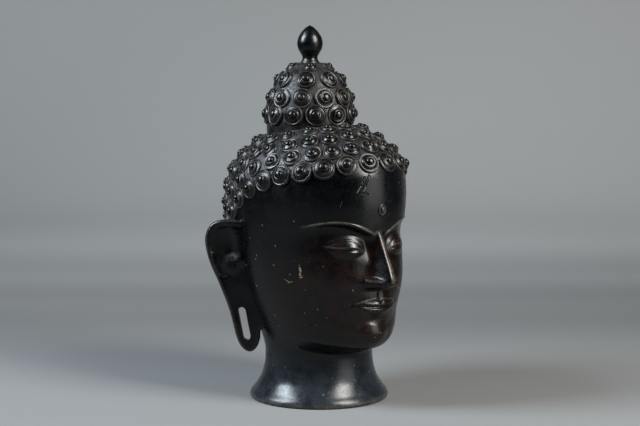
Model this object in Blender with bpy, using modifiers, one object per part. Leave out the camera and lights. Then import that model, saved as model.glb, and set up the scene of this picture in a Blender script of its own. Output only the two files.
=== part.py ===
"""A cast bronze Buddha head on its own flared neck, one piece of metal.

The face looks along -Y and the head stands on the flat underside of its neck, at z = 0.
Sizes are in metres. The head is a loft between a front, a side and a back profile, and the
face is raised on it by smooth fields laid out on equal thirds of the face's height.
"""

import math

import bmesh
import bpy
import numpy as np
from mathutils import Matrix, Vector

# Foot and neck
FOOT_RADIUS = 0.0715
NECK_HEIGHT = 0.0380

# Skull and face: the chin's height and the thirds of the face follow the head's own height
CROWN_HEIGHT = 0.2840
HEAD_WIDTH = 0.1640
HEAD_DEPTH = 0.2100
HEAD_RISE = CROWN_HEIGHT - NECK_HEIGHT
CHIN_HEIGHT = NECK_HEIGHT + 0.114 * HEAD_RISE
FACE_THIRD = 0.236 * HEAD_RISE

# Hair knot with the bud on top of it
KNOT_RADIUS = 0.0445
KNOT_HEIGHT = 0.0670
KNOT_BACK = 0.0150
KNOT_SINK = 0.0080
KNOT_BASE = CROWN_HEIGHT - KNOT_SINK
BUD_RADIUS = 0.0132
BUD_HEIGHT = 0.0375

# Hair curls
CURL_RADIUS = 0.0088
CURL_HEIGHT = 0.0066
CURL_PITCH = 0.0203
EDGE_CURL_PITCH = 0.0222
CURL_SINK = 0.0030
CURL_SIDES = 6
CURL_FOOT_SHARE = 1.04
CURL_TOP_SHARE = 0.66
CURL_SHOULDER_SHARE = 0.60
EDGE_CURL_SCALE = 1.13
KNOT_CURL_SCALE = 0.97

# Ears
EAR_WIDTH = 0.0385
EAR_HEIGHT = 0.1350
EAR_TOP = NECK_HEIGHT + 0.598 * HEAD_RISE
EAR_BACK = 0.0280
EAR_THICKNESS = 0.0070
EAR_FLARE = math.radians(45)
EAR_HOLLOW = 0.0036
SLOT_WIDTH = 0.0082
SLOT_LENGTH = 0.0340

# Mark on the forehead
MARK_WIDTH = 0.0095
MARK_HEIGHT = 0.0120
MARK_RELIEF = 0.0028
MARK_THIRDS = 2.32

# How finely the solids are divided
COLUMNS = 36
COLUMN_GATHER = 1.40
KNOT_STEPS = 16

# How the loose curls are laid in rows below the knot and settle, in shares of their pitch
ROW_SHARE = 0.88
FIRST_ROW_SHARE = 0.30
EDGE_ROOM_SHARE = 0.72
SETTLE_REACH = 1.30
SETTLE_STEP = 0.22
SETTLE_ROUNDS = 90

BRONZE_COLOUR = (0.018, 0.015, 0.013, 1.0)
BRONZE_ROUGHNESS = 0.34

# Each station of the skull: the front's height, then the front's reach, the side's height and
# reach, how far back the widest place lies, and the back's height and reach. Heights are shares
# of the way from the neck to the crown, and reaches are shares of half the width or depth.
STATIONS = (
    (0.000, 0.521, 0.000, 0.667, 0.000, 0.000, 0.521),
    (0.037, 0.519, 0.041, 0.671, 0.000, 0.049, 0.529),
    (0.059, 0.545, 0.081, 0.695, 0.000, 0.089, 0.543),
    (0.075, 0.665, 0.114, 0.727, 0.000, 0.130, 0.571),
    (0.096, 0.800, 0.150, 0.765, 0.005, 0.171, 0.610),
    (0.126, 0.858, 0.187, 0.800, 0.012, 0.211, 0.650),
    (0.159, 0.872, 0.224, 0.832, 0.020, 0.256, 0.700),
    (0.203, 0.868, 0.264, 0.864, 0.035, 0.305, 0.755),
    (0.268, 0.885, 0.317, 0.899, 0.055, 0.360, 0.822),
    (0.350, 0.905, 0.382, 0.932, 0.080, 0.425, 0.900),
    (0.440, 0.910, 0.455, 0.957, 0.095, 0.492, 0.972),
    (0.530, 0.915, 0.533, 0.975, 0.095, 0.558, 1.030),
    (0.610, 0.938, 0.610, 0.990, 0.085, 0.624, 1.062),
    (0.700, 0.955, 0.700, 1.000, 0.065, 0.700, 1.045),
    (0.780, 0.943, 0.780, 0.982, 0.040, 0.780, 0.975),
    (0.840, 0.900, 0.840, 0.910, 0.015, 0.840, 0.865),
    (0.895, 0.785, 0.895, 0.765, 0.000, 0.895, 0.715),
    (0.940, 0.620, 0.940, 0.600, 0.000, 0.940, 0.570),
    (0.975, 0.400, 0.975, 0.400, 0.020, 0.975, 0.420),
    (1.000, 0.000, 1.000, 0.000, 0.050, 1.000, 0.060),
)

# Heights of the foot's rings as shares of the neck's height, with how much of the flare is left
FOOT_RINGS = (
    (0.000, 0.960),
    (0.050, 1.000),
    (0.130, 0.950),
    (0.290, 0.670),
    (0.600, 0.270),
)

# Heights of the solid's rings on the face, in thirds of the face above the chin
FACE_RINGS = (
    -0.42, -0.27, -0.16, -0.06, 0.04, 0.15, 0.30, 0.43, 0.52, 0.595, 0.65, 0.69, 0.75, 0.81,
    0.90, 0.975, 1.03, 1.10, 1.22, 1.40, 1.55, 1.67, 1.77, 1.87, 1.96, 2.06, 2.30, 2.65,
)
HAIR_RINGS = (0.820, 0.870, 0.920, 0.965)

# The hair's edge: the angle from the front in degrees and the height of the curls' middles, as
# a share of the way from the neck to the crown
HAIRLINE = (
    (0.0, 0.849),
    (23.0, 0.840),
    (53.0, 0.815),
    (72.0, 0.790),
    (84.0, 0.758),
    (97.0, 0.706),
    (108.0, 0.640),
    (117.0, 0.545),
    (128.0, 0.450),
    (142.0, 0.395),
    (180.0, 0.375),
)

# The knot with its bud: shares of the knot's radius and height, then of the bud's
KNOT_PROFILE = (
    (0.80, -0.20),
    (1.00, -0.06),
    (1.00, 0.08),
    (0.985, 0.20),
    (0.92, 0.43),
    (0.81, 0.62),
    (0.66, 0.79),
    (0.45, 0.92),
    (0.25, 0.985),
)
BUD_PROFILE = (
    (0.74, 0.00),
    (0.62, 0.06),
    (0.585, 0.13),
    (0.72, 0.23),
    (0.93, 0.37),
    (1.00, 0.50),
    (0.92, 0.65),
    (0.66, 0.81),
    (0.30, 0.94),
)

# Rows of curls on the knot: share of the knot's height, how many, and their size
KNOT_ROWS = (
    (0.215, 12, 1.00),
    (0.465, 11, 1.00),
    (0.740, 8, 0.95),
    (0.925, 5, 0.72),
)

# The ear's outline: shares of its width out from the head's side and of its height from the top
EAR_OUTLINE = (
    (0.08, 0.006),
    (0.36, 0.000),
    (0.62, 0.006),
    (0.83, 0.035),
    (0.96, 0.095),
    (1.00, 0.165),
    (0.95, 0.255),
    (0.83, 0.360),
    (0.67, 0.460),
    (0.47, 0.600),
    (0.33, 0.715),
    (0.20, 0.865),
    (0.09, 0.945),
    (-0.06, 0.990),
    (-0.22, 1.000),
    (-0.37, 0.965),
    (-0.455, 0.900),
    (-0.48, 0.835),
    (-0.66, 0.800),
    (-0.62, 0.680),
    (-0.50, 0.500),
    (-0.36, 0.330),
    (-0.24, 0.150),
    (-0.22, 0.030),
)
EAR_ROOT_SHARE = 0.30
SLOT_PLACE = (-0.045, 0.785)
SLOT_LEAN = math.radians(11)
HOLLOW_PLACE = (0.50, 0.230)
HOLLOW_REACH = (0.34, 0.195)


def clear_scene():
    for item in list(bpy.data.objects):
        bpy.data.objects.remove(item, do_unlink=True)


def smooth_curve(at, places, values):
    """A smooth curve through the given values that doesn't overshoot between them."""
    places = np.asarray(places, float)
    values = np.asarray(values, float)
    steps = np.diff(places)
    slopes = np.diff(values) / steps
    turns = np.zeros(len(places))
    same = slopes[:-1] * slopes[1:] > 0
    near = 2 * steps[1:] + steps[:-1]
    far = steps[1:] + 2 * steps[:-1]
    safe_left = np.where(same, slopes[:-1], 1.0)
    safe_right = np.where(same, slopes[1:], 1.0)
    turns[1:-1] = np.where(same, (near + far) / (near / safe_left + far / safe_right), 0.0)
    turns[0] = slopes[0]
    turns[-1] = slopes[-1]
    at = np.clip(at, places[0], places[-1])
    index = np.clip(np.searchsorted(places, at, side="right") - 1, 0, len(steps) - 1)
    step = steps[index]
    t = (at - places[index]) / step
    return (
        values[index] * (1 + 2 * t) * (1 - t) ** 2
        + step * turns[index] * t * (1 - t) ** 2
        + values[index + 1] * t * t * (3 - 2 * t)
        + step * turns[index + 1] * t * t * (t - 1)
    )


def ease(low, high, value):
    t = np.clip((value - low) / (high - low), 0, 1)
    return t * t * (3 - 2 * t)


def mound(x, z, at, reach, fullness=2.0):
    """A round swelling of height 1, falling to 0 at its reach across and up."""
    left = 1 - ((x - at[0]) / reach[0]) ** 2 - ((z - at[1]) / reach[1]) ** 2
    return np.clip(left, 0, 1) ** fullness


def brow_arch(x):
    """The brow's height in thirds of the face, at x across in the same thirds."""
    return 1.89 + 0.23 * np.sin(0.78 * math.pi * np.clip((x - 0.12) / 0.98, 0, 1))


def face_relief(x, height):
    """How far the face stands forward of the plain skull, at x across and the given height.

    Everything is in thirds of the face: the brows lie at 2, the base of the nose at 1 and the
    chin at 0, the eyes are one eye's width apart and the mouth lies a third of the way down.
    """
    x = np.abs(x) / FACE_THIRD
    z = (height - CHIN_HEIGHT) / FACE_THIRD
    below = brow_arch(x) - z
    socket = ease(0.0, 0.11, below) * (1 - ease(0.16, 0.60, below))
    socket = socket * ease(0.06, 0.24, x) * (1 - ease(0.85, 1.22, x))
    eye = mound(x, z, (0.54, 1.70), (0.31, 0.20), 1.1)
    ridge = smooth_curve(
        z,
        (0.95, 0.985, 1.04, 1.10, 1.16, 1.30, 1.62, 1.86, 1.96),
        (0.00, 0.12, 0.33, 0.40, 0.395, 0.335, 0.165, 0.05, 0.00),
    )
    spread = smooth_curve(z, (0.95, 1.08, 1.22, 1.60, 1.95), (0.27, 0.27, 0.215, 0.135, 0.11))
    nose = ridge / (1 + (x / (0.66 * spread)) ** 4)
    wing = mound(x, z, (0.215, 1.085), (0.125, 0.115), 1.0)
    muzzle = mound(x, z, (0.0, 0.66), (0.62, 0.42))
    mouth = 0.667 + 0.045 * (x / 0.45) ** 2
    span = np.clip(1 - (x / 0.45) ** 2, 0, 1)
    above = (z - mouth) / (0.01 + 0.115 * span**0.7)
    under = (mouth - z) / (0.01 + 0.145 * span**0.8)
    upper_lip = np.clip(1 - above * above, 0, 1) ** 0.7 * (above >= 0)
    lower_lip = np.clip(1 - under * under, 0, 1) ** 0.8 * (under > 0)
    lips = (0.075 * upper_lip + 0.085 * lower_lip) * span**0.5
    parting = np.exp(-(((z - mouth) / 0.028) ** 2)) * span**0.5
    fold = mound(x, z, (0.0, 0.44), (0.30, 0.10))
    chin = mound(x, z, (0.0, 0.20), (0.36, 0.26))
    cheek = mound(x, z, (0.76, 1.08), (0.60, 0.62))
    forward = (
        nose
        + 0.105 * wing
        + 0.082 * eye
        - 0.095 * socket
        + 0.065 * muzzle
        + lips
        - 0.045 * parting
        - 0.030 * fold
        + 0.075 * chin
        + 0.055 * cheek
    )
    return forward * FACE_THIRD


def skull(angle, level, relief=True):
    """The head's surface at an angle from the front, on the ring of the given front level."""
    columns = np.array(STATIONS).T
    reach = [smooth_curve(level, columns[0], column) for column in columns]
    middle = reach[4] * HEAD_DEPTH / 2
    front = -reach[1] * HEAD_DEPTH / 2
    back = reach[6] * HEAD_DEPTH / 2
    ahead = np.cos(angle) > 0
    share = np.cos(angle) ** 2
    level_here = np.where(ahead, reach[0], reach[5]) * share + reach[2] * (1 - share)
    depth = np.where(ahead, middle - front, back - middle)
    x = reach[3] * HEAD_WIDTH / 2 * np.sin(angle)
    y = middle - depth * np.cos(angle)
    z = NECK_HEIGHT + HEAD_RISE * level_here
    if relief:
        y = y - face_relief(x, z) * ease(0.0, 0.35, np.cos(angle))
    return np.stack([x, y, z], axis=-1)


def skull_frame(angle, level):
    """Places on the plain skull with the two directions along it."""
    step = 0.004
    place = skull(angle, level, relief=False)
    around = (skull(angle + step, level, relief=False) - place) / step
    upward = (skull(angle, level + step, relief=False) - place) / step
    return place, around, upward


def level_at(angle, height_share):
    """The ring that passes through a height at an angle from the front, by halving."""
    low = np.zeros_like(angle)
    high = np.ones_like(angle)
    wanted = NECK_HEIGHT + HEAD_RISE * height_share
    for _ in range(30):
        half = (low + high) / 2
        under = skull(angle, half, relief=False)[..., 2] < wanted
        low = np.where(under, half, low)
        high = np.where(under, high, half)
    return (low + high) / 2


def hair_edge(angle):
    """The ring level of the middles of the hairline's curls at an angle from the front."""
    rows = np.array(HAIRLINE).T
    turned = np.degrees(np.abs((angle + math.pi) % (2 * math.pi) - math.pi))
    return level_at(angle, smooth_curve(turned, rows[0], rows[1]))


def knot_edge(angle, reach):
    """The ring level that lies at a reach from the knot's axis, at an angle from the front."""
    low = np.full_like(angle, 0.75)
    high = np.ones_like(angle)
    for _ in range(30):
        half = (low + high) / 2
        place = skull(angle, half, relief=False)
        clear = np.hypot(place[..., 0], place[..., 1] - KNOT_BACK) > reach
        low = np.where(clear, half, low)
        high = np.where(clear, high, half)
    return low


def spaced_row(angles, levels, pitch, shift=0.0):
    """Angles at an even pitch along a closed row, starting at the middle of the back."""
    places = skull(angles, levels, relief=False)
    steps = np.linalg.norm(np.diff(places, axis=0), axis=1)
    along = np.concatenate([[0], np.cumsum(steps)])
    count = int(round(along[-1] / pitch))
    wanted = (np.arange(count) + 0.5 + shift) * along[-1] / count
    return np.interp(wanted % along[-1], along, angles)


def curl_places():
    """Angles and levels of the curls: a row along the hairline, then even rows that settle."""
    angles = np.linspace(-math.pi, math.pi, 241)
    edge = hair_edge(angles)
    edge_angles = spaced_row(angles, edge, EDGE_CURL_PITCH)
    edge_levels = hair_edge(edge_angles)
    inner = KNOT_RADIUS - 0.25 * CURL_PITCH
    outer = KNOT_RADIUS + 0.60 * CURL_RADIUS
    top = knot_edge(angles, outer)
    top_angles = spaced_row(angles, knot_edge(angles, inner), CURL_PITCH)
    top_levels = knot_edge(top_angles, inner)
    shares = np.linspace(0, 1, 60)
    lanes = np.stack([edge + (top - edge) * share for share in shares])
    places = skull(np.broadcast_to(angles, lanes.shape), lanes, relief=False)
    steps = np.linalg.norm(np.diff(places, axis=0), axis=2)
    depth = np.concatenate([np.zeros((1, len(angles))), np.cumsum(steps, axis=0)])
    depth = depth[-1] - depth
    loose_angles = []
    loose_levels = []
    row = 0
    while (row + FIRST_ROW_SHARE) * ROW_SHARE * CURL_PITCH < depth.max():
        wanted = (row + FIRST_ROW_SHARE) * ROW_SHARE * CURL_PITCH
        levels = np.array(
            [np.interp(-wanted, -depth[:, i], lanes[:, i]) for i in range(len(angles))]
        )
        room = depth[0] - wanted
        shift = 0.5 * (row % 2)
        spaced = spaced_row(angles, levels, CURL_PITCH, shift)
        for angle in spaced:
            if np.interp(angle, angles, room) > EDGE_ROOM_SHARE * CURL_PITCH:
                loose_angles.append(angle)
                loose_levels.append(np.interp(angle, angles, levels))
        row += 1
    angle = np.array(loose_angles)
    level = np.array(loose_levels)
    fixed = skull(
        np.concatenate([edge_angles, top_angles]),
        np.concatenate([edge_levels, top_levels]),
        relief=False,
    )
    reach = SETTLE_REACH * CURL_PITCH
    for _ in range(SETTLE_ROUNDS):
        place, around, upward = skull_frame(angle, level)
        others = np.concatenate([place, fixed])
        gap = place[:, None, :] - others[None, :, :]
        far = np.linalg.norm(gap, axis=2)
        np.fill_diagonal(far, 1.0)
        push = np.clip(1 - far / reach, 0, 1) / far
        move = (gap * push[..., None]).sum(axis=1) * SETTLE_STEP * CURL_PITCH
        aa = (around * around).sum(axis=1)
        uu = (upward * upward).sum(axis=1)
        au = (around * upward).sum(axis=1)
        ma = (move * around).sum(axis=1)
        mu = (move * upward).sum(axis=1)
        whole = aa * uu - au * au
        angle = angle + (ma * uu - mu * au) / whole
        level = level + (mu * aa - ma * au) / whole
        angle = (angle + math.pi) % (2 * math.pi) - math.pi
        level = np.clip(level, hair_edge(angle), knot_edge(angle, outer))
    return edge_angles, edge_levels, angle, level


def arched(angles, level):
    """A ring's levels, which follow the brow's arch where the ring passes near it."""
    third = (NECK_HEIGHT + level * HEAD_RISE - CHIN_HEIGHT) / FACE_THIRD
    across = np.abs(np.sin(angles)) * HEAD_WIDTH / 2 / FACE_THIRD
    bell = math.exp(-(((third - 1.88) / 0.30) ** 2)) * (np.cos(angles) > 0)
    lift = (brow_arch(across) - brow_arch(0.0)) * ease(1.45, 1.20, across)
    return level + lift * bell * FACE_THIRD / HEAD_RISE


def loft_rings():
    """The rings of the whole head from the foot's underside to the crown."""
    share = np.linspace(-1, 1, COLUMNS + 1)[:-1]
    angles = np.sign(share) * math.pi * np.abs(share) ** COLUMN_GATHER
    neck = skull(angles, np.zeros_like(angles), relief=False)
    foot = np.stack([np.sin(angles), -np.cos(angles), np.zeros_like(angles)], axis=-1)
    rings = []
    for height, flare in FOOT_RINGS:
        ring = neck + (foot * FOOT_RADIUS - neck) * flare
        ring[:, 2] = height * NECK_HEIGHT
        rings.append(ring)
    start = (CHIN_HEIGHT - NECK_HEIGHT) / HEAD_RISE
    levels = [start + ring * FACE_THIRD / HEAD_RISE for ring in FACE_RINGS]
    for level in levels + list(HAIR_RINGS):
        rings.append(skull(angles, arched(angles, level)))
    return rings


def new_object(name, mesh, home):
    item = bpy.data.objects.new(name, mesh)
    home.objects.link(item)
    return item


def make_loft(home):
    rings = loft_rings()
    mesh = bpy.data.meshes.new("buddha_head")
    shape = bmesh.new()
    grid = [[shape.verts.new(point) for point in ring] for ring in rings]
    crown = shape.verts.new(skull(np.array(0.0), np.array(1.0), relief=False))
    for lower, upper in zip(grid, grid[1:]):
        for i in range(COLUMNS):
            j = (i + 1) % COLUMNS
            shape.faces.new((lower[i], lower[j], upper[j], upper[i]))
    for i in range(COLUMNS):
        shape.faces.new((grid[-1][i], grid[-1][(i + 1) % COLUMNS], crown))
    shape.faces.new(list(reversed(grid[0])))
    bmesh.ops.recalc_face_normals(shape, faces=shape.faces)
    shape.to_mesh(mesh)
    shape.free()
    return new_object("buddha_head", mesh, home)


def turned_profile(name, points, steps, home):
    """A closed turned shape from a profile that starts and ends on the axis."""
    mesh = bpy.data.meshes.new(name)
    shape = bmesh.new()
    corners = [shape.verts.new((radius, 0, height)) for radius, height in points]
    for a, b in zip(corners, corners[1:]):
        shape.edges.new((a, b))
    shape.to_mesh(mesh)
    shape.free()
    item = new_object(name, mesh, home)
    screw = item.modifiers.new("turn", "SCREW")
    screw.steps = steps
    screw.render_steps = steps
    screw.use_merge_vertices = True
    screw.merge_threshold = 0.00001
    screw.use_normal_calculate = True
    return item


def make_knot(home):
    points = [(0, KNOT_BASE + KNOT_PROFILE[0][1] * KNOT_HEIGHT)]
    points += [(KNOT_RADIUS * r, KNOT_BASE + KNOT_HEIGHT * h) for r, h in KNOT_PROFILE]
    bud = KNOT_BASE + KNOT_HEIGHT
    points += [(BUD_RADIUS * r, bud + BUD_HEIGHT * h) for r, h in BUD_PROFILE]
    points.append((0, bud + BUD_HEIGHT))
    knot = turned_profile("knot_and_bud", points, KNOT_STEPS, home)
    knot.location = (0, KNOT_BACK, 0)
    return knot


def curl_frames():
    """Where each curl stands, as a matrix with +Z out of the surface, and its size."""
    frames = []
    edge_angles, edge_levels, angles, levels = curl_places()
    groups = ((edge_angles, edge_levels, EDGE_CURL_SCALE), (angles, levels, 1.0))
    for group_angles, group_levels, size in groups:
        place, around, upward = skull_frame(group_angles, group_levels)
        out = np.cross(around, upward)
        for point, normal in zip(place, out):
            frames.append((Vector(point), Vector(normal).normalized(), size))
    heights = [KNOT_HEIGHT * h for _, h in KNOT_PROFILE]
    radii = [KNOT_RADIUS * r for r, _ in KNOT_PROFILE]
    for row, (share, count, size) in enumerate(KNOT_ROWS):
        height = share * KNOT_HEIGHT
        step = 0.01 * KNOT_HEIGHT
        radius = float(smooth_curve(height, heights, radii))
        slope = (float(smooth_curve(height + step, heights, radii)) - radius) / step
        for i in range(count):
            turn = 2 * math.pi * (i + 0.5 * (row % 2)) / count
            outward = Vector((math.sin(turn), -math.cos(turn), 0))
            point = outward * radius + Vector((0, KNOT_BACK, KNOT_BASE + height))
            normal = (outward + Vector((0, 0, -slope))).normalized()
            frames.append((point, normal, size * KNOT_CURL_SCALE))
    return frames


def make_curls(home):
    mesh = bpy.data.meshes.new("curls")
    shape = bmesh.new()
    for point, normal, size in curl_frames():
        turn = normal.to_track_quat("Z", "Y").to_matrix().to_4x4()
        radius = CURL_RADIUS * size
        height = CURL_HEIGHT * size
        shoulder = CURL_SHOULDER_SHARE * height
        made = bmesh.ops.create_cone(
            shape,
            cap_ends=True,
            segments=CURL_SIDES,
            radius1=radius * CURL_FOOT_SHARE,
            radius2=radius * CURL_TOP_SHARE,
            depth=shoulder + CURL_SINK,
            matrix=Matrix.Translation(point)
            @ turn
            @ Matrix.Translation((0, 0, (shoulder - CURL_SINK) / 2)),
        )
        middle = point + normal * shoulder
        caps = {face for corner in made["verts"] for face in corner.link_faces}
        top = [face for face in caps if (face.calc_center_median() - middle).length < 1e-5]
        bmesh.ops.poke(shape, faces=top, offset=height - shoulder)
    bmesh.ops.recalc_face_normals(shape, faces=shape.faces)
    shape.to_mesh(mesh)
    shape.free()
    return new_object("curls", mesh, home)


def ear_origin():
    """The middle of the ear's root at the side of the head."""
    height = EAR_TOP - EAR_ROOT_SHARE * EAR_HEIGHT
    share = (height - NECK_HEIGHT) / HEAD_RISE
    angles = np.linspace(math.pi / 2, math.pi, 91)
    places = skull(angles, level_at(angles, np.full_like(angles, share)), relief=False)
    return float(np.interp(EAR_BACK, places[:, 1], places[:, 0]))


def outline_curve(name, rings, home):
    curve = bpy.data.curves.new(name, "CURVE")
    curve.dimensions = "2D"
    curve.fill_mode = "BOTH"
    curve.extrude = EAR_THICKNESS / 2
    for ring in rings:
        spline = curve.splines.new("POLY")
        spline.points.add(len(ring) - 1)
        for point, (across, up) in zip(spline.points, ring):
            point.co = (across, up, 0, 1)
        spline.use_cyclic_u = True
    return new_object(name, curve, home)


def slot_ring():
    ring = []
    straight = SLOT_LENGTH / 2 - SLOT_WIDTH / 2
    middle = Vector((SLOT_PLACE[0] * EAR_WIDTH, -SLOT_PLACE[1] * EAR_HEIGHT))
    for end in (1, -1):
        for i in range(4):
            turn = math.radians(60 * i)
            point = Vector((end * math.cos(turn), end * math.sin(turn))) * SLOT_WIDTH / 2
            point.y += end * straight
            point.rotate(Matrix.Rotation(-SLOT_LEAN, 2))
            ring.append(middle + point)
    return ring


def make_ear(side, home):
    """An ear: a flat plate with a slot in its lobe and a hollow inside its rim."""
    name = "ear_left" if side > 0 else "ear_right"
    ring = [(side * u * EAR_WIDTH, -v * EAR_HEIGHT) for u, v in EAR_OUTLINE]
    slot = [(side * point.x, point.y) for point in slot_ring()]
    ear = outline_curve(name, [ring, slot], home)
    turn = Matrix.Rotation(side * EAR_FLARE, 4, "Z") @ Matrix.Rotation(math.pi / 2, 4, "X")
    ear.matrix_world = Matrix.Translation((side * ear_origin(), EAR_BACK, EAR_TOP)) @ turn
    bpy.context.view_layer.update()
    solid = bpy.data.meshes.new_from_object(
        ear.evaluated_get(bpy.context.evaluated_depsgraph_get())
    )
    plate = new_object(name + "_plate", solid, home)
    plate.matrix_world = ear.matrix_world
    bpy.data.objects.remove(ear, do_unlink=True)
    weld = plate.modifiers.new("weld", "WELD")
    weld.merge_threshold = 0.00001
    mesh = bpy.data.meshes.new(name + "_hollow")
    shape = bmesh.new()
    bmesh.ops.create_uvsphere(shape, u_segments=12, v_segments=6, radius=1)
    shape.to_mesh(mesh)
    shape.free()
    hollow = new_object(name + "_hollow", mesh, home)
    across = side * HOLLOW_PLACE[0] * EAR_WIDTH
    hollow.matrix_world = (
        plate.matrix_world
        @ Matrix.Translation((across, -HOLLOW_PLACE[1] * EAR_HEIGHT, EAR_THICKNESS / 2))
        @ Matrix.Rotation(-side * math.radians(8), 4, "Z")
        @ Matrix.Diagonal(
            (HOLLOW_REACH[0] * EAR_WIDTH, HOLLOW_REACH[1] * EAR_HEIGHT, EAR_HOLLOW, 1)
        )
    )
    cut = plate.modifiers.new("hollow", "BOOLEAN")
    cut.operation = "DIFFERENCE"
    cut.solver = "EXACT"
    cut.object = hollow
    return plate


def make_mark(home):
    """The oval mark between and above the brows."""
    mesh = bpy.data.meshes.new("mark")
    shape = bmesh.new()
    bmesh.ops.create_uvsphere(shape, u_segments=8, v_segments=6, radius=1)
    shape.to_mesh(mesh)
    shape.free()
    mark = new_object("mark", mesh, home)
    share = (CHIN_HEIGHT + MARK_THIRDS * FACE_THIRD - NECK_HEIGHT) / HEAD_RISE
    front = skull(np.array([0.0]), level_at(np.array([0.0]), np.array([share])))[0]
    mark.location = Vector(front)
    mark.scale = (MARK_WIDTH / 2, MARK_RELIEF, MARK_HEIGHT / 2)
    return mark


def join(item, other):
    union = item.modifiers.new("with_" + other.name, "BOOLEAN")
    union.operation = "UNION"
    union.solver = "EXACT"
    union.use_self = True
    union.object = other


def bronze():
    material = bpy.data.materials.new("bronze")
    material.use_nodes = True
    shader = material.node_tree.nodes["Principled BSDF"]
    shader.inputs["Base Color"].default_value = BRONZE_COLOUR
    shader.inputs["Metallic"].default_value = 1.0
    shader.inputs["Roughness"].default_value = BRONZE_ROUGHNESS
    return material


def main():
    clear_scene()
    parts = bpy.data.collections.new("buddha_head_sculpture")
    pieces = bpy.data.collections.new("joined_into_the_head")
    bpy.context.scene.collection.children.link(parts)
    bpy.context.scene.collection.children.link(pieces)
    head = make_loft(parts)
    head.data.materials.append(bronze())
    for other in (
        make_knot(pieces),
        make_ear(1, pieces),
        make_ear(-1, pieces),
        make_mark(pieces),
        make_curls(pieces),
    ):
        join(head, other)
    for item in pieces.objects:
        item.hide_render = True
        item.display_type = "WIRE"


main()
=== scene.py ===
"""The looks of the bronze Buddha head: fine relief, snail curls, patina, studio, lights, camera.

Sizes are in metres, in the CAD's frame: the face looks along -Y and the head stands at z = 0.
The plain head is worked out as the CAD's is, so the fine relief sits exactly on its form.
"""

import math

import bpy
import numpy as np
from mathutils import Matrix, Vector


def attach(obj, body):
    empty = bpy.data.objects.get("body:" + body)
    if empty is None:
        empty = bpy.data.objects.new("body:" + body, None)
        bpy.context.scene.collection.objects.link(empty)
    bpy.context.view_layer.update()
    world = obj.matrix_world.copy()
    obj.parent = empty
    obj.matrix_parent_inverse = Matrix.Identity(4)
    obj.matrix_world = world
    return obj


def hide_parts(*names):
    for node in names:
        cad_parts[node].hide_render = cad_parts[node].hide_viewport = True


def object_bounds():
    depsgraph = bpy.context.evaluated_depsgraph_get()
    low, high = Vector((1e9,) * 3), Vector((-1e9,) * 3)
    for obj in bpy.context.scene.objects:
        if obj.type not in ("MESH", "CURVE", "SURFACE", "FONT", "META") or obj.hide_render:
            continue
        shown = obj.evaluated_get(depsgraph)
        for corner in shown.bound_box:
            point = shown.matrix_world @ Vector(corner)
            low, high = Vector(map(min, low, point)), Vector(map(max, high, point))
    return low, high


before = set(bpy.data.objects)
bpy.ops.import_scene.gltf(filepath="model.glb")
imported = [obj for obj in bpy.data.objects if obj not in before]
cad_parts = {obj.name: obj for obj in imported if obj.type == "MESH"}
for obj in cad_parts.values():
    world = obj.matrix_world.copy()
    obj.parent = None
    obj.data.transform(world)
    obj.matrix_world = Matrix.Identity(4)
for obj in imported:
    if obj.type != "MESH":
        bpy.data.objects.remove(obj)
cad_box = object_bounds()

# Sizes shared with the CAD, as all down to the ear's outline: foot and neck
FOOT_RADIUS = 0.0715
NECK_HEIGHT = 0.038

# Skull and face: the chin's height and the thirds of the face follow the head's own height
CROWN_HEIGHT = 0.284
HEAD_WIDTH = 0.164
HEAD_DEPTH = 0.21
HEAD_RISE = CROWN_HEIGHT - NECK_HEIGHT
CHIN_HEIGHT = NECK_HEIGHT + 0.114 * HEAD_RISE
FACE_THIRD = 0.236 * HEAD_RISE

# Hair knot with the bud on top of it
KNOT_RADIUS = 0.0445
KNOT_HEIGHT = 0.067
KNOT_BACK = 0.015
KNOT_SINK = 0.008
KNOT_BASE = CROWN_HEIGHT - KNOT_SINK
BUD_RADIUS = 0.0132
BUD_HEIGHT = 0.0375

# Hair curls, then how they are laid in rows and settle, in shares of their pitch
CURL_RADIUS = 0.0088
CURL_HEIGHT = 0.0066
CURL_PITCH = 0.0203
EDGE_CURL_PITCH = 0.0222
EDGE_CURL_SCALE = 1.13
KNOT_CURL_SCALE = 0.97
ROW_SHARE = 0.88
FIRST_ROW_SHARE = 0.3
EDGE_ROOM_SHARE = 0.72
SETTLE_REACH = 1.3
SETTLE_STEP = 0.22
SETTLE_ROUNDS = 90

# Ears
EAR_WIDTH = 0.0385
EAR_HEIGHT = 0.135
EAR_TOP = NECK_HEIGHT + 0.598 * HEAD_RISE
EAR_BACK = 0.028
EAR_ROOT_SHARE = 0.3
EAR_THICKNESS = 0.007
EAR_FLARE = math.radians(45)
EAR_HOLLOW = 0.0036
SLOT_WIDTH = 0.0082
SLOT_LENGTH = 0.034
SLOT_PLACE = (-0.045, 0.785)
SLOT_LEAN = math.radians(11)
HOLLOW_PLACE = (0.5, 0.23)
HOLLOW_REACH = (0.34, 0.195)

# Mark on the forehead
MARK_WIDTH = 0.0095
MARK_HEIGHT = 0.012
MARK_RELIEF = 0.0028
MARK_THIRDS = 2.32

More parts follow.
